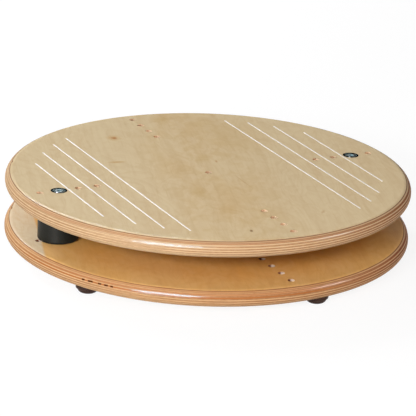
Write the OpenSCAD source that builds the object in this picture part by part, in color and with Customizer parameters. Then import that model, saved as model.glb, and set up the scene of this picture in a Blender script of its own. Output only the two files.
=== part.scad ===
// Round balance board: two plywood boards joined by two rubber buffers, standing on screwed feet.
// Millimetres. The origin is on the floor under the centre, Z is up, X runs through both buffers
// and -Y is the front.

/* [Boards] */
// Diameter of both boards
board_d = 500; // [460:5:600]
// Thickness of each board
board_t = 21; // [18:0.5:27]
// Radius of the rounded rims
rim_r = 10; // [3:0.5:10]

/* [Hole rows] */
// Diameter of the spare holes
hole_d = 8.5; // [6:0.5:10]
// Distance from the rim to the outermost place of each row
hole_edge = 25; // [20:1:35]
// Distance between neighbouring places of a row
hole_step = 25; // [22:0.5:30]
// Number of places in each row
hole_places = 4; // [3:1:5]
// Place of the left and right rows that holds the buffers, counted inwards from the rim
buffer_place = 2; // [2:1:3]

/* [Stance lines] */
// Width of a painted line
line_w = 1.8; // [1:0.1:3]
// Thickness of the paint
line_t = 0.2; // [0.1:0.05:0.3]
// Number of lines on each side
line_count = 4; // [2:1:5]
// Place of the outermost line along the hole rows, midway between two holes
line_place = 2.5; // [2.5:1:3.5]
// Distance from the rim to the circle that all the lines end on
line_edge = 36; // [25:1:45]

/* [Buffers] */
// Diameter of the rubber
buffer_d = 50; // [44:1:60]
// Height of a buffer, which is the gap between the boards
buffer_h = 40; // [34:1:60]
// Radius of the rounded edges of the rubber
buffer_edge_r = 2.5; // [1:0.5:3.5]
// Width of the rubber lip around each steel plate
buffer_lip = 4; // [3:0.5:6]
// Thickness of the steel plates
plate_t = 2.5; // [1.5:0.5:4]
// Wall of the threaded bushes
bush_wall = 4; // [3:0.5:5]
// Thickness of the closed end of a bush
bush_end = 3; // [2:0.5:4]
// Thickness of the bonding layer between rubber and steel
bond_gap = 0.2; // [0.1:0.05:0.3]

/* [Bolts] */
// Thread diameter of the bolts
bolt_d = 10; // [8:1:11]
// Diameter of the countersunk heads
bolt_head_d = 20; // [17:0.5:22]
// Height of the straight edge of a head
bolt_head_edge = 0.5; // [0.3:0.1:1]
// Width across flats of the hex socket
bolt_socket_w = 6; // [5:0.5:7]
// Depth of the hex socket
bolt_socket_depth = 3.6; // [2.5:0.1:4]
// Length of thread that a bolt has inside its bush
bolt_grip = 9; // [6:0.5:11]
// Chamfer on the end of a bolt
bolt_chamfer = 1; // [0.5:0.1:1.5]
// Clearance around a bolt in its board, on the radius
bolt_gap = 0.25; // [0.1:0.05:0.5]
// Clearance between a thread or a cone and its seat
seat_gap = 0.1; // [0.05:0.01:0.15]

/* [Feet] */
// Number of feet
foot_count = 5; // [3:1:6]
// Distance from the rim to the middle of a foot
foot_edge = 21; // [20:1:40]
// Angle of the first foot, counted from +X
foot_first_angle = 62.5; // [55:0.5:65]
// Height of a foot
foot_h = 10; // [9:0.5:14]
// Width of the ring of a foot that touches the floor
foot_ring = 2.5; // [1:0.1:4]
// Radius of the dome that rises from that ring
foot_dome_r = 5.8; // [3:0.1:8]
// Width by which the collar stands out over the dome
foot_collar_w = 1.9; // [1:0.1:4]
// Radius of the rounded edges of the collar
foot_collar_r = 1.2; // [0.8:0.1:1.4]
// Height of the collar's lower edge above the floor
foot_collar_z = 5.5; // [4:0.1:6]

/* [Foot screws] */
// Thread diameter of the foot screws
screw_d = 4; // [3.5:0.1:4.5]
// Length of a foot screw under its head
screw_len = 20; // [16:1:22]
// Length of the point of a screw
screw_point = 4; // [3:0.5:5]
// Diameter of a screw head
screw_head_d = 7.8; // [7:0.1:9]
// Height of a screw head
screw_head_h = 2.4; // [1.8:0.1:3]
// Height of a screw head above the floor
screw_head_z = 2.2; // [1.5:0.1:3]
// Length of each slot of the cross recess in a screw head
cross_len = 4; // [3:0.2:4.4]
// Width of those slots
cross_w = 1; // [0.8:0.1:1.4]
// Depth of those slots
cross_depth = 1.3; // [0.8:0.1:1.6]
// Width by which a washer stands out over the screw head
washer_lip = 3.1; // [2:0.1:4]
// Thickness of a washer
washer_t = 1.2; // [0.8:0.1:1.6]
// Clearance around a screw head in its foot, on the radius
head_gap = 0.4; // [0.2:0.1:0.8]
// Clearance around a screw and its washer, on the radius
screw_gap = 0.15; // [0.1:0.05:0.2]

/* [Hidden] */
$fn = 96;

// Cuts run past the faces that they open by this much
past = 1;
// Levels of the stack, from the floor up
base_z = foot_h;
base_face_z = base_z + board_t;
top_z = base_face_z + buffer_h;
top_face_z = top_z + board_t;
// The rims keep a narrow straight land at mid thickness
rim_land = 1;
rim = min(rim_r, (board_t - rim_land) / 2);
// A bush is drilled a little deeper than its bolt reaches
bush_drill = bolt_grip + bolt_chamfer;
bush_len = bush_drill + bush_end;
bush_r = bolt_d / 2 + bush_wall;
plate_r = buffer_d / 2 - buffer_lip;
bolt_len = board_t + bolt_grip;
// Radii and levels of a foot, built up from its screw
washer_z = screw_head_z + screw_head_h;
washer_r = screw_head_d / 2 + washer_lip;
foot_recess_r = screw_head_d / 2 + head_gap;
foot_flat_r = foot_recess_r + foot_ring;
foot_neck_r = foot_flat_r + foot_dome_r;
foot_r = foot_neck_r + foot_collar_w;

wood = [0.80, 0.71, 0.56];
black_rubber = [0.14, 0.14, 0.14];
brown_rubber = [0.29, 0.20, 0.16];
dark_steel = [0.38, 0.42, 0.45];
bright_steel = [0.70, 0.71, 0.72];
white_paint = [0.93, 0.91, 0.86];

function place_r(place) = board_d / 2 - hole_edge - (place - 1) * hole_step;
function foot_angle(i) = foot_first_angle + (i - 1) * 360 / foot_count;

// Half profile of a round slab with both edges rounded, standing on the X axis
module slab_profile(r, h, edge) {
  square([r - edge, h]);
  translate([0, edge]) square([r, h - 2 * edge]);
  for (z = [edge, h - edge]) translate([r - edge, z]) circle(edge);
}

// Puts a child at a buffer: side is -1 for the left one and 1 for the right one
module at_buffer(side, z) translate([side * place_r(buffer_place), 0, z]) children();

module at_foot(i, z) rotate(foot_angle(i)) translate([board_d / 2 - foot_edge, 0, z]) children();

module upside_down() mirror([0, 0, 1]) children();

// Half outline of a countersunk bolt that hangs from the level of its head, or of the hole around it
module bolt_outline(shank_gap, cone_gap, reach) {
  shank_r = bolt_d / 2 + shank_gap;
  head_r = bolt_head_d / 2 + cone_gap;
  // The cone is a 90 degree one, so it is as deep as it is wide
  cone_end = bolt_head_edge + head_r - shank_r;
  polygon([
    [0, 0], [head_r, 0], [head_r, -bolt_head_edge], [shank_r, -cone_end],
    [shank_r, bolt_chamfer - reach], [shank_r - bolt_chamfer, -reach], [0, -reach]
  ]);
}

// The countersunk hole for a bolt, below the face that its head is flush with
module bolt_hole() {
  rotate_extrude() bolt_outline(bolt_gap, seat_gap, board_t + bolt_chamfer + past);
  cylinder(d = bolt_head_d + 2 * seat_gap, h = past);
}

module spare_hole() translate([0, 0, -past]) cylinder(d = hole_d, h = board_t + 2 * past);

// A board lying on the XY plane, with a centre hole and four rows of holes. The places of the left
// and right rows that hold the buffers are left for the bolts.
module drilled_board() {
  difference() {
    rotate_extrude() slab_profile(board_d / 2, board_t, rim);
    spare_hole();
    for (row = [0:3], place = [1:hole_places])
      if (row % 2 == 1 || place != buffer_place)
        rotate(row * 90) translate([place_r(place), 0, 0]) spare_hole();
  }
}

module top_board() {
  color(wood) difference() {
    translate([0, 0, top_z]) drilled_board();
    for (side = [-1, 1]) at_buffer(side, top_face_z) bolt_hole();
  }
}

module base_board() {
  pilot_depth = washer_z + screw_len - foot_h + screw_gap;
  color(wood) difference() {
    translate([0, 0, base_z]) drilled_board();
    for (side = [-1, 1]) at_buffer(side, base_z) upside_down() bolt_hole();
    for (i = [1:foot_count])
      at_foot(i, base_z - past) cylinder(r = screw_d / 2 + screw_gap, h = pilot_depth + past);
  }
}

// Straight lines across the face, parallel to Y, all ending on one circle
module stance_lines() {
  end_r = board_d / 2 - line_edge;
  color(white_paint) for (side = [-1, 1], k = [0:line_count - 1]) {
    x = place_r(line_place + k);
    half = sqrt(end_r * end_r - x * x);
    translate([side * x - line_w / 2, -half, top_face_z]) cube([line_w, 2 * half, line_t]);
  }
}

// Half profile of the room for a steel plate and its bush in the lower end of the rubber
module plate_room() {
  square([plate_r + bond_gap, plate_t + bond_gap]);
  square([bush_r + bond_gap, bush_len + bond_gap]);
}

// The rubber wraps the edges of both plates, and its lips stay just clear of the boards
module buffer_rubber(side) {
  color(black_rubber) at_buffer(side, base_face_z) rotate_extrude() difference() {
    translate([0, bond_gap]) slab_profile(buffer_d / 2, buffer_h - 2 * bond_gap, buffer_edge_r);
    plate_room();
    translate([0, buffer_h]) mirror([0, 1]) plate_room();
  }
}

// A steel plate with its blind threaded bush, lying on the board that it is bolted to
module buffer_plate() {
  rotate_extrude() difference() {
    union() {
      square([plate_r, plate_t]);
      square([bush_r, bush_len]);
    }
    square([bolt_d / 2 + seat_gap, bush_drill]);
  }
}

module buffer_base_plate(side) color(bright_steel) at_buffer(side, base_face_z) buffer_plate();

module buffer_top_plate(side) color(bright_steel) at_buffer(side, top_z) upside_down() buffer_plate();

module countersunk_bolt() {
  socket_d = bolt_socket_w / cos(30);
  difference() {
    rotate_extrude() bolt_outline(0, 0, bolt_len);
    translate([0, 0, -bolt_socket_depth]) cylinder(d = socket_d, h = bolt_socket_depth + past, $fn = 6);
  }
}

module top_bolt(side) color(dark_steel) at_buffer(side, top_face_z) countersunk_bolt();

module base_bolt(side) color(dark_steel) at_buffer(side, base_z) upside_down() countersunk_bolt();

// Half profile of a foot: a ring on the floor that rises as a dome into a collar with rounded edges
module foot_profile() {
  neck_top = foot_collar_z + foot_collar_r;
  translate([0, foot_collar_z]) slab_profile(foot_r, foot_h - foot_collar_z, foot_collar_r);
  intersection() {
    slab_profile(foot_neck_r, foot_h + foot_dome_r, foot_dome_r);
    square([foot_neck_r, neck_top]);
  }
}

module foot(i) {
  color(brown_rubber) at_foot(i, 0) rotate_extrude() difference() {
    foot_profile();
    translate([0, -past]) square([foot_recess_r, washer_z + past]);
    translate([0, washer_z]) square([washer_r + screw_gap, washer_t + screw_gap]);
    square([screw_d / 2 + screw_gap, foot_h + past]);
  }
}

module foot_washer(i) {
  color(bright_steel) at_foot(i, washer_z) difference() {
    cylinder(r = washer_r, h = washer_t);
    translate([0, 0, -past]) cylinder(r = screw_d / 2 + screw_gap, h = washer_t + 2 * past);
  }
}

// A pan-head wood screw with a cross recess, driven up through its washer into the board
module foot_screw(i) {
  shank = screw_len - screw_point;
  color(bright_steel) at_foot(i, washer_z) difference() {
    union() {
      rotate_extrude() intersection() {
        translate([0, -screw_head_h]) square([screw_head_d / 2, screw_head_h]);
        circle(d = screw_head_d);
      }
      cylinder(d = screw_d, h = shank);
      translate([0, 0, shank]) cylinder(d1 = screw_d, d2 = 0, h = screw_point);
    }
    for (turn = [0, 90]) rotate(turn) translate([-cross_len / 2, -cross_w / 2, -screw_head_h - past])
      cube([cross_len, cross_w, cross_depth + past]);
  }
}

top_board();
base_board();
stance_lines();
for (side = [-1, 1]) {
  name = side < 0 ? "left" : "right";
  buffer_rubber(side);
  buffer_top_plate(side);
  buffer_base_plate(side);
  top_bolt(side);
  base_bolt(side);
}
for (i = [1:foot_count]) {
  foot(i);
  foot_washer(i);
  foot_screw(i);
}
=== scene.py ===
"""Looks of a round balance board: two lacquered birch plywood boards on rubber buffers, in a plain studio."""

import math

import bmesh
import bpy
from mathutils import Matrix, Vector


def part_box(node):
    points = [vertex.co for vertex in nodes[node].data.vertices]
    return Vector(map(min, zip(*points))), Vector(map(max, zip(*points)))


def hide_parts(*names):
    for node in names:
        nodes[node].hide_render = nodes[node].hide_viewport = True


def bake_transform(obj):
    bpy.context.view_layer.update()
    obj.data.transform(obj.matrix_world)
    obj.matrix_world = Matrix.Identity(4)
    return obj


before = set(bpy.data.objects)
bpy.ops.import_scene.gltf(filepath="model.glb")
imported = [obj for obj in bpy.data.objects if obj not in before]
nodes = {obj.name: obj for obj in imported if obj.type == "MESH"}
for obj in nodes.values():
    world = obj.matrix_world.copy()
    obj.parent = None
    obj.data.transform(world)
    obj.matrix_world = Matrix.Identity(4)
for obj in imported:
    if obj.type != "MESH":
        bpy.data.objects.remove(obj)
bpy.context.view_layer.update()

MM = 0.001
SIDES = ("left", "right")

# The photograph's camera: a square frame with its centre on the optical axis, in degrees and metres
FRAME_PX = 416
FOCAL_PX = 2706.6
SENSOR_MM = 36.0
CAMERA_AZIMUTH = -26.858
CAMERA_ELEVATION = 19.446
CAMERA_ROLL = 2.305
CAMERA_DISTANCE = 3.3333
CAMERA_REACH = 100
# Where the camera aims, as steps to the right and up in the picture from the middle of the upper face
AIM_RIGHT = -0.0007
AIM_UP = -0.0439

# Lay-up of the boards, in millimetres
PLIES = 15
FACE_PLY = 0.85
GLUE_LINE = 0.2
# Half the width over which a face veneer gives way to the plies inside
FACE_BLUR = 0.02
# Width of the soft dark line under the upper face
FACE_JOINT = 0.5
# Width of the outer ring that takes in the rounded rim
RIM_RING = 12
# Width over which the deep colour of a face turns to its core colour, inwards from that ring;
# on the base board this is painted shade, deeper under the upper board
CORE_TURN = 60
# Where the plies change their looks along Y, X and the depth, and where the glue does along X
FRONT_TURN = (20, -60)
RIGHT_TURN = (0, 190)
LOWER_TURN = (5, 14)
GLUE_TURN = (-200, 100)
# Angle of the face fibres from the Y axis, in degrees
FACE_LEAN = 17
# Shift of the grain from one ply to the next, so that the plies differ
PLY_SHIFT = 61.7
# Number of lines in the flame figure of the faces, over the whole range of its noise
FIGURE_LINES = 15.0
GLUE_COLOUR = (112, 62, 36)
VOID_COLOUR = (84, 36, 10)
# How the surface rises and sinks, as shares of the height of its bumps
FACE_FIBRE_RISE = 0.3
CUT_FIBRE_RISE = 0.05
STREAK_RISE = 0.4
GLUE_RISE = -0.8
VOID_RISE = -4.0
LACQUER_ROUGHNESS = 0.18
RAW_ROUGHNESS = 0.8

# Turns the blue-green of the strip lamp to grey in the reflections on rubber
RUBBER_TINT = (1.0, 0.51, 0.38, 1.0)
# Radius of the bolts' hex sockets, in millimetres
SOCKET_R = 3.5
# Middle of the painted glint on a bolt head, a highlight painted into its colour, as shares of the head's
# radius
PAINTED_GLINT_X = -0.52
PAINTED_GLINT_Y = -0.61

# The rubber of a buffer: its rounded edge, and the room inside it for a plate and a bush to lean
BUFFER_EDGE = 2.5 * MM
PLATE_ROOM = 0.4 * MM
PLATE_POCKET = 2.9 * MM
BUSH_POCKET_R = 15 * MM
BUSH_ROOM = 1 * MM
# How finely it is turned: steps around it, rows up each half, and degrees in each step of its edge
BUFFER_STEPS = 96
BUFFER_ROWS = 12
EDGE_STEP_DEG = 15
# Corners of a turned mesh that bend by more degrees than this look sharp
SHARP_DEG = 40

# The studio: the size, grey and shown white of its floor, and the point that the lamps aim at
FLOOR_SIZE = 30
FLOOR_GREY = 0.82
FLOOR_WHITE = 1.03
LAMP_AIM = Vector((0, 0, 0.05))


def direction(azimuth, elevation):
    """Unit vector from the object towards that azimuth and elevation, where azimuth 0 is the front, -Y."""
    a, e = math.radians(azimuth), math.radians(elevation)
    return Vector((math.sin(a) * math.cos(e), -math.cos(a) * math.cos(e), math.sin(e)))


def srgb(red, green, blue):
    """A colour written as it looks on a screen, 0 to 255, as the linear RGBA that sockets take."""
    def linear(value):
        v = value / 255
        return v / 12.92 if v <= 0.04045 else ((v + 0.055) / 1.055) ** 2.4

    return (linear(red), linear(green), linear(blue), 1.0)


class Surface:
    """A material's node tree, built with short calls. Sockets and plain values both serve as inputs."""

    def __init__(self, name):
        self.material = bpy.data.materials.new(name)
        self.material.use_nodes = True
        self.tree = self.material.node_tree
        self.shader = self.tree.nodes["Principled BSDF"]
        place = self.add("TexCoord")
        self.normal = place.outputs["Normal"]
        scaled = self.add("VectorMath", {0: place.outputs["Object"], "Scale": 1 / MM}, operation="SCALE")
        self.place = scaled.outputs[0]
        self.x, self.y, self.z = self.split(self.place)

    def add(self, kind, inputs=None, **settings):
        node = self.tree.nodes.new("ShaderNode" + kind)
        for key, value in settings.items():
            setattr(node, key, value)
        for key, value in (inputs or {}).items():
            self.put(node.inputs[key], value)
        return node

    def put(self, socket, value):
        if isinstance(value, bpy.types.NodeSocket):
            self.tree.links.new(value, socket)
        else:
            socket.default_value = value

    def set(self, **values):
        """Sets the shader's own sockets, with spaces in their names as underscores."""
        for key, value in values.items():
            self.put(self.shader.inputs[key.replace("_", " ")], value)

    def math(self, operation, *values):
        return self.add("Math", dict(enumerate(values)), operation=operation).outputs[0]

    def total(self, first, *rest):
        for value in rest:
            first = self.math("ADD", first, value)
        return first

    def times(self, first, *rest):
        for value in rest:
            first = self.math("MULTIPLY", first, value)
        return first

    def apart(self, a, b):
        """How far two numbers are apart."""
        return self.math("ABSOLUTE", self.math("SUBTRACT", a, b))

    def length(self, a, b):
        """Length of the flat vector with these two sides."""
        return self.math("SQRT", self.total(self.times(a, a), self.times(b, b)))

    def split(self, vector):
        return self.add("SeparateXYZ", {0: vector}).outputs

    def join(self, x, y, z):
        return self.add("CombineXYZ", {0: x, 1: y, 2: z}).outputs[0]

    def step(self, value, low, high):
        """0 up to low and 1 from high on, smooth between them. Where low is the larger, it falls instead."""
        inputs = {"Value": value, "From Min": low, "From Max": high}
        return self.add("MapRange", inputs, interpolation_type="SMOOTHSTEP").outputs[0]

    def span(self, value, low, high):
        """A 0 to 1 value stretched to run from low to high."""
        return self.add("MapRange", {"Value": value, "To Min": low, "To Max": high}).outputs[0]

    def choose(self, factor, a, b):
        """The number a where factor is 0, b where it is 1."""
        return self.add("Mix", {0: factor, 2: a, 3: b}).outputs[0]

    def tint(self, factor, a, b):
        """The colour a where factor is 0, b where it is 1."""
        return self.add("Mix", {0: factor, 6: a, 7: b}, data_type="RGBA").outputs[2]

    def noise(self, vector, scale, detail=2.0, rough=0.5, warp=0.0):
        inputs = {"Vector": vector, "Scale": scale, "Detail": detail, "Roughness": rough, "Distortion": warp}
        return self.add("TexNoise", inputs).outputs[0]

    def bump(self, height, distance, strength):
        node = self.add("Bump", {"Height": height, "Distance": distance, "Strength": strength})
        self.put(self.shader.inputs["Normal"], node.outputs[0])


class Plywood(Surface):
    """Birch plywood as a solid texture: plies that cross, dark glue lines and pale face veneers.
    tones are the board's colours and shares, and seed sets its grain apart from other boards."""

    def __init__(self, name, node, seed, tones):
        super().__init__(name)
        low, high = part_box(node)
        self.tones = tones
        self.thickness = (high.z - low.z) / MM
        self.rim_start = (high.x - low.x) / 2 / MM - RIM_RING
        self.ply_thickness = (self.thickness - 2 * FACE_PLY) / (PLIES - 2)
        self.depth = self.math("SUBTRACT", high.z / MM, self.z)
        self.radius = self.length(self.x, self.y)
        self.nx, self.ny, self.nz = self.split(self.normal)

        # Plies count from 0, the upper face. The odd ones are turned: their fibres cross those of the faces
        below_face = self.math("SUBTRACT", self.depth, FACE_PLY)
        self.plies_down = self.math("DIVIDE", below_face, self.ply_thickness)
        self.ply = self.math("ADD", self.math("FLOOR", self.plies_down), 1.0)
        self.turned = self.math("FLOORED_MODULO", self.ply, 2.0)
        self.inner = self.between_faces(-FACE_BLUR, FACE_BLUR)

        lean = math.radians(FACE_LEAN)
        self.face_across = self.total(self.times(self.x, math.cos(lean)), self.times(self.y, -math.sin(lean)))
        face_along = self.total(self.times(self.x, math.sin(lean)), self.times(self.y, math.cos(lean)))
        self.along = self.choose(self.turned, face_along, self.face_across)
        self.across = self.choose(self.turned, self.face_across, face_along)
        self.layer = self.total(self.times(self.ply, PLY_SHIFT), seed)
        self.fibres = self.grain(0.035, 1.0, scale=0.55, detail=4.0, rough=0.62)
        self.streaks = self.grain(0.06, 0.5, scale=0.085, detail=3.0, rough=0.55, warp=0.4)

    def tone(self, key):
        return srgb(*self.tones[key])

    def grain(self, stretch, through, **look):
        """Noise drawn out along the fibres. stretch is its rate along them, through its rate in depth."""
        along = self.total(self.times(self.along, stretch), self.layer)
        return self.noise(self.join(self.across, along, self.times(self.z, through)), **look)

    def between_faces(self, start, full):
        """0 in the face veneers, 1 between them. start and full are counted inwards from their joints."""
        below_upper = self.step(self.depth, FACE_PLY + start, FACE_PLY + full)
        lower_joint = self.thickness - FACE_PLY
        above_lower = self.step(self.depth, lower_joint - start, lower_joint - full)
        return self.times(below_upper, above_lower)

    def face_wood(self, heart_and_shade):
        """Deep heartwood in a band of patches along the fibres, pale sapwood on both sides of it, and the
        flame figure of rotary-cut veneer, drawn as contour lines of a slow, drawn-out noise. On the base
        board the band is painted light and shade instead: its orange is painted warm shade from the gap under
        the upper board, deepening towards the middle, and the pale strip left of it is painted light from the
        key lamp."""
        rise = self.grain(0.28, 0.0, scale=0.016, detail=2.5, rough=0.5, warp=0.6)
        lines = self.math("FRACT", self.times(rise, FIGURE_LINES))
        figure = self.times(self.step(lines, 0.35, 0.97), self.step(lines, 1.0, 0.97))
        mottle = self.grain(0.7, 0.0, scale=0.06, detail=2.0, rough=0.6, warp=1.0)
        broad = self.grain(0.45, 0.0, scale=0.016, detail=1.0, rough=0.5, warp=0.5)

        # On the base board this band is painted light and shade: orange painted warm shade, pale where the
        # key lamp falls
        middle, full, gone, least = heart_and_shade
        wander = (gone - full) / 4
        wandering = self.total(self.face_across, -middle, self.span(broad, -wander, wander))
        band = self.step(self.math("ABSOLUTE", wandering), gone, full)
        patches = self.step(self.total(self.times(broad, 0.6), self.times(mottle, 0.4)), 0.36, 0.64)
        core = self.step(self.radius, self.rim_start, self.rim_start - CORE_TURN)
        heartwood_and_shade = self.tint(core, self.tone("face_deep"), self.tone("face_core"))
        wood = self.tint(self.times(band, self.span(patches, least, 1.0)), self.tone("face_pale"), heartwood_and_shade)
        marks = (
            self.times(self.step(mottle, 0.4, 0.7), 0.12),
            self.times(self.step(self.streaks, 0.4, 0.8), 0.2),
            self.times(figure, 0.1),
            self.times(self.step(self.fibres, 0.52, 0.75), 0.2),
        )
        for mark in marks:
            wood = self.tint(mark, wood, self.tone("face_line"))
        return wood

    def cut_wood(self):
        """The cut edges of the inner plies: long grain stays pale, end grain soaks up the lacquer."""
        pores = self.step(self.grain(0.2, 2.0, scale=0.2, detail=3.0, rough=0.6), 0.25, 0.75)
        long_cut = self.tint(pores, self.tone("long_pale"), self.tone("long_deep"))
        end_cut = self.tint(pores, self.tone("end_pale"), self.tone("end_deep"))
        facing = self.choose(self.turned, self.ny, self.nx)
        wood = self.tint(self.step(self.times(facing, facing), 0.15, 0.9), long_cut, end_cut)

        # Single plies are warmer, most of all at the front and on the left
        front = self.step(self.y, *FRONT_TURN)
        right = self.step(self.x, *RIGHT_TURN)
        warmth = self.times(self.choose(front, 0.25, 1.0), self.span(right, 1.0, 0.3))
        for warm_ply, share in self.tones["warm_plies"].items():
            in_ply = self.math("COMPARE", self.ply, warm_ply, 0.5)
            wood = self.tint(self.times(in_ply, warmth, share), wood, self.tone("warm"))

        # On the right the even plies show red-brown, most of all the upper ones, and the odd plies paler
        contrast = self.times(right, self.tones["contrast"])
        lower = self.step(self.depth, *LOWER_TURN)
        even = self.math("SUBTRACT", 1.0, self.turned)
        wood = self.tint(self.times(even, contrast, self.span(lower, 1.0, 0.45)), wood, self.tone("red"))
        pale_share = self.times(self.turned, contrast, self.span(lower, 0.7, 1.0))
        return self.tint(pale_share, wood, self.tone("long_pale"))

    def glue_share(self):
        """Where glue shows: between the plies, stronger on the right, and in a line under the upper face."""
        from_ply_middle = self.apart(self.math("FRACT", self.plies_down), 0.5)
        to_joint = self.times(self.math("SUBTRACT", 0.5, from_ply_middle), self.ply_thickness)
        in_stack = self.between_faces(-GLUE_LINE, -GLUE_LINE / 2)
        joints = self.times(self.step(to_joint, GLUE_LINE, GLUE_LINE / 3), in_stack, 0.75)
        joints = self.times(joints, self.choose(self.step(self.x, *GLUE_TURN), 0.6, 1.1))
        starts = self.step(self.depth, FACE_PLY - FACE_JOINT / 5, FACE_PLY)
        ends = self.step(self.depth, FACE_PLY + FACE_JOINT, FACE_PLY + FACE_JOINT / 2)
        return self.math("MAXIMUM", joints, self.times(starts, ends, 0.8))

    def drilled_share(self):
        """Where the walls of the holes are: upright, and inside the rim."""
        upright = self.step(self.math("ABSOLUTE", self.nz), 0.6, 0.3)
        return self.times(upright, self.step(self.radius, self.rim_start, self.rim_start - 1))

    def raw_wood(self):
        """The walls of the holes, with painted light and shade: paler where they face -X."""
        turn = self.step(self.nx, *self.tones["hole_turn"])
        return self.tint(turn, self.tone("hole_lit"), self.tone("hole_dark"))

    def knot_share(self, x, y, length, width, lean):
        """A mark on the upper face with a frayed edge. lean is its angle from the Y axis, in degrees."""
        turn = math.radians(lean)
        dx = self.math("SUBTRACT", self.x, x)
        dy = self.math("SUBTRACT", self.y, y)
        along = self.total(self.times(dx, math.sin(turn) / length), self.times(dy, math.cos(turn) / length))
        across = self.total(self.times(dx, math.cos(turn) / width), self.times(dy, -math.sin(turn) / width))
        frayed = self.times(self.noise(self.place, scale=0.25), 0.5)
        inside = self.step(self.total(self.length(along, across), frayed), 1.25, 0.35)
        return self.times(inside, self.step(self.depth, FACE_PLY, FACE_PLY * 0.8))

    def void_share(self, angle, half, ply):
        """A gap in one ply of the rim. angle is its middle and half its half length, in degrees."""
        around = self.math("DEGREES", self.math("ARCTAN2", self.y, self.x))
        along = self.step(self.apart(around, angle), half, half * 0.7)
        in_ply = self.step(self.apart(self.plies_down, ply - 0.5), 0.8, 0.55)
        return self.times(along, in_ply, self.step(self.radius, self.rim_start, self.rim_start + 1))


def plywood(name, node, seed, tones, heart_and_shade, knots=(), voids=()):
    """The lacquered finish of one board. heart_and_shade is the band of deep colour in a face, across its
    fibres:
    its middle, how far it reaches in full, where it is gone, and its least share; on the base board it is
    painted shade. knots are the marks on the upper face, voids the gaps in one ply of the rim."""
    m = Plywood(name, node, seed, tones)
    glue = m.glue_share()
    drilled = m.drilled_share()
    wood = m.tint(m.inner, m.face_wood(heart_and_shade), m.cut_wood())
    wood = m.tint(glue, wood, srgb(*GLUE_COLOUR))
    wood = m.tint(drilled, wood, m.raw_wood())
    for *place, strength, colour in knots:
        wood = m.tint(m.times(m.knot_share(*place), strength), wood, srgb(*colour))

    fibre_rise = m.times(m.fibres, m.choose(m.inner, FACE_FIBRE_RISE, CUT_FIBRE_RISE))
    height = m.total(fibre_rise, m.times(m.streaks, STREAK_RISE), m.times(glue, GLUE_RISE))
    for void in voids:
        gap = m.void_share(*void)
        wood = m.tint(gap, wood, srgb(*VOID_COLOUR))
        height = m.total(height, m.times(gap, VOID_RISE))

    m.set(Base_Color=wood, Specular_IOR_Level=0.0)
    m.set(Roughness=m.choose(drilled, m.span(m.streaks, 0.5, 0.6), RAW_ROUGHNESS))
    m.set(Coat_Weight=tones["lacquer"], Coat_Roughness=LACQUER_ROUGHNESS)
    m.bump(height, 0.08 * MM, 0.6)
    return m.material


def white_paint():
    """White paint with brush strokes along Y and faint stains."""
    m = Surface("white_paint")
    strokes = m.noise(m.join(m.x, m.times(m.y, 0.15), m.z), scale=0.7, detail=3.0, rough=0.6)
    stains = m.step(m.noise(m.place, scale=0.06), 0.5, 0.8)
    colour = m.tint(m.step(strokes, 0.35, 0.8), srgb(236, 229, 218), srgb(224, 214, 198))
    colour = m.tint(m.times(stains, 0.35), colour, srgb(226, 212, 188))
    m.set(Base_Color=colour, Roughness=m.span(strokes, 0.4, 0.6))
    m.bump(strokes, 0.05 * MM, 0.5)
    return m.material


def rubber(name, dark, pale, roughness, gloss):
    """Moulded rubber with a faint mottle, a grey bloom in patches and a fine leathery surface."""
    m = Surface(name)
    fine = m.noise(m.place, scale=1.4, detail=3.0, rough=0.65)
    bloom = m.step(m.noise(m.place, scale=0.07, detail=3.0, rough=0.6), 0.42, 0.8)
    colour = m.tint(m.step(fine, 0.3, 0.7), dark, pale)
    colour = m.tint(m.times(bloom, 0.35), colour, pale)
    m.set(Base_Color=colour, Roughness=roughness, Specular_IOR_Level=gloss, Specular_Tint=RUBBER_TINT)
    m.bump(fine, 0.1 * MM, 0.4)
    return m.material


def steel(name, pale, dark, roughness):
    """Zinc-plated steel with a cloudy finish."""
    m = Surface(name)
    cloud = m.noise(m.place, scale=0.35, detail=3.0, rough=0.6)
    m.set(Base_Color=m.tint(m.step(cloud, 0.35, 0.7), pale, dark), Metallic=1.0)
    m.set(Roughness=m.span(cloud, roughness, roughness + 0.15))
    m.bump(m.noise(m.place, scale=2.5), 0.04 * MM, 0.5)
    return m.material


def bolt_finish(axis_x, head_r):
    """Blackened bolts, one on each side at axis_x: turned heads with painted shade that darkens them to the
    edge and a painted highlight as one bright glint near the front edge, and sockets painted bright as a
    painted reflection."""
    m = Surface("bolt_steel")
    aside = m.math("SUBTRACT", m.x, m.times(m.math("SIGN", m.x), axis_x))
    radius = m.length(aside, m.y)
    cloud = m.noise(m.place, scale=0.55, detail=3.0, rough=0.7)
    turning = m.math("SINE", m.total(m.times(radius, 9.0), m.times(cloud, 5.0)))
    colour = m.tint(m.step(cloud, 0.4, 0.64), srgb(38, 43, 41), srgb(112, 112, 105))
    # Painted shade: a dark ring towards the edge of each head
    colour = m.tint(m.step(radius, head_r * 0.68, head_r * 0.88), colour, srgb(30, 31, 31))
    # Painted reflection: the sockets are painted bright
    colour = m.tint(m.step(radius, SOCKET_R * 1.3, SOCKET_R), colour, srgb(150, 152, 146))
    # Painted highlight: one bright glint near the front-left edge of each head
    painted_glint_y = m.step(m.apart(m.y, head_r * PAINTED_GLINT_Y), 1.6, 0.6)
    painted_glint_x = m.step(m.apart(aside, head_r * PAINTED_GLINT_X), 1.8, 0.8)
    colour = m.tint(m.times(painted_glint_y, painted_glint_x), colour, srgb(214, 206, 200))
    m.set(Base_Color=colour, Metallic=1.0, Specular_Tint=srgb(120, 130, 136))
    m.set(Roughness=m.span(cloud, 0.32, 0.5))
    m.bump(m.total(m.times(turning, 0.5), m.noise(m.place, scale=2.5)), 0.04 * MM, 0.5)
    return m.material


def dress(material, *names):
    for name in names:
        mesh = nodes[name].data
        mesh.materials.clear()
        mesh.materials.append(material)


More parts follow.
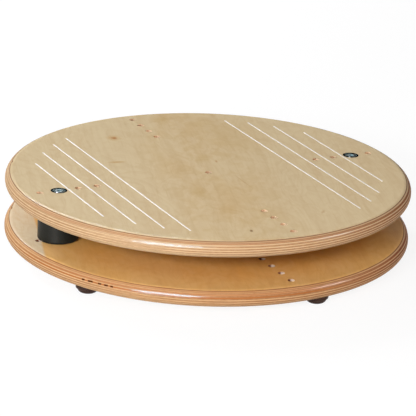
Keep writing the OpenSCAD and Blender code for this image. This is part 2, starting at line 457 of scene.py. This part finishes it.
def revolve(name, profile, centre, steps):
    """A closed mesh turned about a vertical axis. The profile starts and ends on the axis, as (radius, z)."""
    mesh = bmesh.new()
    rings = []
    for radius, z in profile:
        count = 1 if radius == 0 else steps
        turns = [2 * math.pi * k / steps for k in range(count)]
        rings.append([
            mesh.verts.new((centre.x + radius * math.cos(a), centre.y + radius * math.sin(a), z))
            for a in turns
        ])
    for low, high in zip(rings, rings[1:]):
        for k in range(steps):
            corners = [low[k % len(low)], low[(k + 1) % len(low)],
                       high[(k + 1) % len(high)], high[k % len(high)]]
            mesh.faces.new(list(dict.fromkeys(corners)))
    bmesh.ops.recalc_face_normals(mesh, faces=mesh.faces)
    data = bpy.data.meshes.new(name)
    mesh.to_mesh(data)
    mesh.free()
    data.shade_smooth()
    data.set_sharp_from_angle(angle=math.radians(SHARP_DEG))
    piece = bpy.data.objects.new(name, data)
    bpy.context.scene.collection.objects.link(piece)
    return piece


def buffer_halves(side, material):
    """The rubber of one buffer, split at mid height into a lower half and an upper half.
    The profile of a half runs from the axis, over its pockets and its outside, to the axis at mid height."""
    node = side + "_buffer_rubber"
    low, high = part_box(node)
    plate_low, plate_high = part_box(side + "_buffer_base_plate")
    centre = (low + high) / 2
    outer = (high.x - low.x) / 2
    lip = (plate_high.x - plate_low.x) / 2 + PLATE_ROOM
    bush_pocket = plate_high.z - low.z + BUSH_ROOM
    wall = centre.z - low.z
    corner_r = outer - BUFFER_EDGE
    straight = wall - BUFFER_EDGE
    arc = [math.radians(a) for a in range(0, 91, EDGE_STEP_DEG)]
    profile = [(0, bush_pocket), (BUSH_POCKET_R, bush_pocket), (BUSH_POCKET_R, PLATE_POCKET)]
    profile += [(lip, PLATE_POCKET), (lip, 0)]
    profile += [(corner_r + BUFFER_EDGE * math.sin(a), BUFFER_EDGE - BUFFER_EDGE * math.cos(a)) for a in arc]
    profile += [(outer, BUFFER_EDGE + straight * k / BUFFER_ROWS) for k in range(1, BUFFER_ROWS + 1)]
    profile += [(0, wall)]
    halves = (("lower", low.z, 1, "base", "buffers"), ("upper", high.z, -1, "top", "buffers"))
    for half, foot, sign, a, b in halves:
        points = [(r, foot + sign * z) for r, z in profile]
        piece = revolve(f"{side}_rubber_{half}", points, centre, BUFFER_STEPS)
        piece.data.materials.append(material)
        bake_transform(piece)
        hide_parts(node)


def lamp(name, azimuth, elevation, distance, width, height, watts, colour, lights=True, mirrored=True,
         shape="RECTANGLE"):
    """A panel lamp aimed at the object. It lights surfaces, is mirrored in glossy ones, or does both."""
    data = bpy.data.lights.new(name, "AREA")
    data.shape = shape
    data.size = width
    data.size_y = height
    data.energy = watts
    data.color = colour
    light = bpy.data.objects.new(name, data)
    towards = direction(azimuth, elevation)
    light.location = towards * distance + LAMP_AIM
    light.rotation_euler = towards.to_track_quat("Z", "Y").to_euler()
    light.visible_camera = False
    light.visible_diffuse = lights
    light.visible_glossy = mirrored
    bpy.context.scene.collection.objects.link(light)


def seen_directly(tree):
    """1 for rays that show the background: from the camera, in reflections and through glass."""
    path = tree.nodes.new("ShaderNodeLightPath")
    seen = path.outputs["Is Camera Ray"]
    for name in ("Is Glossy Ray", "Is Transmission Ray"):
        larger = tree.nodes.new("ShaderNodeMath")
        larger.operation = "MAXIMUM"
        tree.links.new(seen, larger.inputs[0])
        tree.links.new(path.outputs[name], larger.inputs[1])
        seen = larger.outputs[0]
    return seen


def surroundings(ambient):
    """A world that shows white, and lights the object evenly and faintly."""
    world = bpy.data.worlds.new("studio")
    bpy.context.scene.world = world
    world.use_nodes = True
    tree = world.node_tree
    background = tree.nodes["Background"]
    background.inputs["Color"].default_value = (1, 1, 1, 1)
    strength = tree.nodes.new("ShaderNodeMix")
    tree.links.new(seen_directly(tree), strength.inputs[0])
    strength.inputs[2].default_value = ambient
    strength.inputs[3].default_value = 1.0
    tree.links.new(strength.outputs[0], background.inputs["Strength"])


def pale_floor(shadow_share):
    """A floor that shows white with the object's shadow, and throws light back as a pale grey one would."""
    bpy.ops.mesh.primitive_plane_add(size=FLOOR_SIZE)
    floor = bpy.context.object
    floor.name = "floor"
    material = bpy.data.materials.new("floor")
    material.use_nodes = True
    tree = material.node_tree
    tree.nodes.clear()
    lit = tree.nodes.new("ShaderNodeBsdfDiffuse")
    lit.inputs["Color"].default_value = (FLOOR_GREY, FLOOR_GREY, FLOOR_GREY, 1)
    shown = tree.nodes.new("ShaderNodeBsdfDiffuse")
    shown.inputs["Color"].default_value = (1, 1, 1, 1)
    white = tree.nodes.new("ShaderNodeEmission")
    white.inputs["Strength"].default_value = FLOOR_WHITE
    pale = tree.nodes.new("ShaderNodeMixShader")
    pale.inputs[0].default_value = shadow_share
    tree.links.new(white.outputs[0], pale.inputs[1])
    tree.links.new(shown.outputs[0], pale.inputs[2])
    either = tree.nodes.new("ShaderNodeMixShader")
    tree.links.new(seen_directly(tree), either.inputs[0])
    tree.links.new(lit.outputs[0], either.inputs[1])
    tree.links.new(pale.outputs[0], either.inputs[2])
    output = tree.nodes.new("ShaderNodeOutputMaterial")
    tree.links.new(either.outputs[0], output.inputs["Surface"])
    floor.data.materials.append(material)


def photograph_camera():
    data = bpy.data.cameras.new("camera")
    data.sensor_width = SENSOR_MM
    data.lens = SENSOR_MM * FOCAL_PX / FRAME_PX
    data.clip_end = CAMERA_REACH
    back = direction(CAMERA_AZIMUTH, CAMERA_ELEVATION)
    level = Vector((0, 0, 1)).cross(back).normalized()
    upright = back.cross(level)
    roll = math.radians(CAMERA_ROLL)
    right = level * math.cos(roll) + upright * math.sin(roll)
    up = upright * math.cos(roll) - level * math.sin(roll)
    upper_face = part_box("top_board")[1].z
    aim = Vector((0, 0, upper_face)) + right * AIM_RIGHT + up * AIM_UP
    camera = bpy.data.objects.new("camera", data)
    turn = Matrix((right, up, back)).transposed().to_4x4()
    camera.matrix_world = Matrix.Translation(aim + back * CAMERA_DISTANCE) @ turn
    bpy.context.scene.collection.objects.link(camera)
    bpy.context.scene.camera = camera


# Tones of the two boards: colours as they look on a screen, shares, and in hole_turn the X parts of the
# normal between which the walls of the holes turn from lit to dark
TOP_TONES = {
    "face_pale": (217, 196, 156), "face_deep": (211, 184, 138), "face_core": (211, 184, 138),
    "face_line": (186, 148, 100), "lacquer": 0.12,
    "long_pale": (209, 179, 141), "long_deep": (196, 165, 125),
    "end_pale": (180, 141, 102), "end_deep": (162, 121, 83),
    "warm": (166, 100, 56), "warm_plies": {1: 0.3, 2: 0.45},
    "red": (140, 82, 48), "contrast": 0.9,
    "hole_turn": (-0.8, -0.35), "hole_lit": (214, 186, 152), "hole_dark": (194, 154, 120),
}
# On the base board face_deep and face_core are painted warm shade from the gap under the upper board
BASE_TONES = {
    "face_pale": (217, 200, 170), "face_deep": (220, 174, 107), "face_core": (212, 158, 86),
    "face_line": (188, 138, 78), "lacquer": 0.15,
    "long_pale": (206, 168, 124), "long_deep": (194, 153, 109),
    "end_pale": (173, 128, 87), "end_deep": (156, 110, 70),
    "warm": (168, 98, 44), "warm_plies": {1: 0.4, 2: 0.25, 3: 0.6, 4: 0.1, 5: 0.9},
    "red": (134, 66, 37), "contrast": 0.9,
    "hole_turn": (-0.65, -0.1), "hole_lit": (214, 190, 166), "hole_dark": (120, 76, 56),
}
TOP_SEED = 3.1
BASE_SEED = 47.3

# Bands of deep colour in the faces, in millimetres: middle, full reach, end of reach, least share.
# The base board's band is painted warm shade, and the pale strip left of it painted light from the key lamp.
TOP_HEART = (5, 20, 105, 0.25)
BASE_SHADE_BAND = (20, 231, 235, 0.9)

# Marks on the upper face, in millimetres and degrees: x, y, half length, half width, lean, strength, colour
TOP_KNOTS = (
    (-55, 164, 14, 12, 20, 0.5, (196, 142, 70)),
    (-54, 163, 7, 5, 20, 0.7, (170, 104, 40)),
    (-90, 74, 5, 15, 10, 0.55, (190, 138, 68)),
    (-46, -207, 6, 2.8, 20, 0.85, (122, 78, 24)),
    (-36, -132, 26, 14, 15, 0.25, (190, 144, 76)),
    (28, 35, 7, 2.2, 20, 0.5, (180, 112, 52)),
    (65, -177, 9, 3, 40, 0.35, (172, 112, 62)),
    (25, -45, 38, 1.2, 2, 0.35, (180, 128, 74)),
    (33, 214, 26, 18, 20, 0.35, (192, 152, 88)),
    (79, 176, 44, 20, 15, 0.2, (194, 158, 98)),
    (96, 118, 95, 60, 17, 0.3, (198, 166, 112)),
    (16, 52, 26, 17, 25, 0.3, (192, 154, 92)),
    (-44, -62, 34, 15, 17, 0.3, (192, 154, 92)),
)

# Gaps in one ply of the base board's rim: angle, half length in degrees, ply
BASE_VOIDS = ((-151.3, 0.55, 5), (-149.0, 0.9, 5), (-146.0, 0.6, 5), (-144.0, 0.65, 5), (-142.3, 0.5, 5))

top_plywood = plywood("top_plywood", "top_board", TOP_SEED, TOP_TONES, TOP_HEART, knots=TOP_KNOTS)
base_plywood = plywood("base_plywood", "base_board", BASE_SEED, BASE_TONES, BASE_SHADE_BAND, voids=BASE_VOIDS)
dress(top_plywood, "top_board")
dress(base_plywood, "base_board")
dress(white_paint(), "stance_lines")

bolt_low, bolt_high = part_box("right_top_bolt")
bolt_x = (bolt_low.x + bolt_high.x) / 2 / MM
bolt_r = (bolt_high.x - bolt_low.x) / 2 / MM
bolt_steel = bolt_finish(bolt_x, bolt_r)
plate_steel = steel("plate_steel", srgb(196, 198, 200), srgb(160, 164, 168), roughness=0.35)
screw_steel = steel("screw_steel", srgb(205, 206, 204), srgb(176, 178, 178), roughness=0.25)
foot_rubber = rubber("foot_rubber", srgb(35, 25, 20), srgb(70, 52, 45), roughness=0.35, gloss=0.1)
black_rubber = rubber("black_rubber", srgb(8, 18, 16), srgb(28, 34, 30), roughness=0.42, gloss=0.2)
for side in SIDES:
    dress(bolt_steel, side + "_top_bolt", side + "_base_bolt")
    dress(plate_steel, side + "_buffer_top_plate", side + "_buffer_base_plate")
    buffer_halves(side, black_rubber)

foot_looks = {"foot": foot_rubber, "foot_washer": plate_steel, "foot_screw": screw_steel}
for name in nodes:
    kind = name.rpartition("_")[0]
    if kind in foot_looks:
        dress(foot_looks[kind], name)

surroundings(ambient=0.07)
pale_floor(shadow_share=0.15)
# Lamps: azimuth and elevation in degrees, distance, width and height in metres, watts, colour
lamp("key", -171, 17, 3.0, 0.3, 0.3, 48, (0.95, 0.98, 1.0), mirrored=False)
lamp("window", -168, 36, 3.0, 1.4, 0.6, 25, (0.97, 0.98, 1.0), mirrored=False)
lamp("fill", -45, 21, 2.6, 1.2, 0.36, 62, (0.94, 0.96, 1.0), mirrored=False)
lamp("strip", -44.5, 18.5, 2.6, 1.5, 1.2, 520, (0.38, 0.74, 1.0), lights=False, shape="ELLIPSE")
lamp("glint", 50, 29.5, 2.6, 1.1, 0.7, 80, (0.7, 0.85, 1.0), lights=False, shape="ELLIPSE")
lamp("pane", -188, 35, 3.0, 1.6, 0.5, 66, (0.78, 0.84, 1.0), lights=False)
lamp("side", -84, 24, 2.6, 1.5, 1.5, 8, (1.0, 1.0, 1.0), mirrored=False)
lamp("left", -125, 24, 2.6, 1.5, 1.5, 9, (0.95, 0.97, 1.0), mirrored=False)
lamp("right", 20, 22, 2.6, 1.5, 1.5, 21.5, (1.0, 0.83, 0.71), mirrored=False)
photograph_camera()

bpy.context.scene.view_settings.view_transform = "Standard"
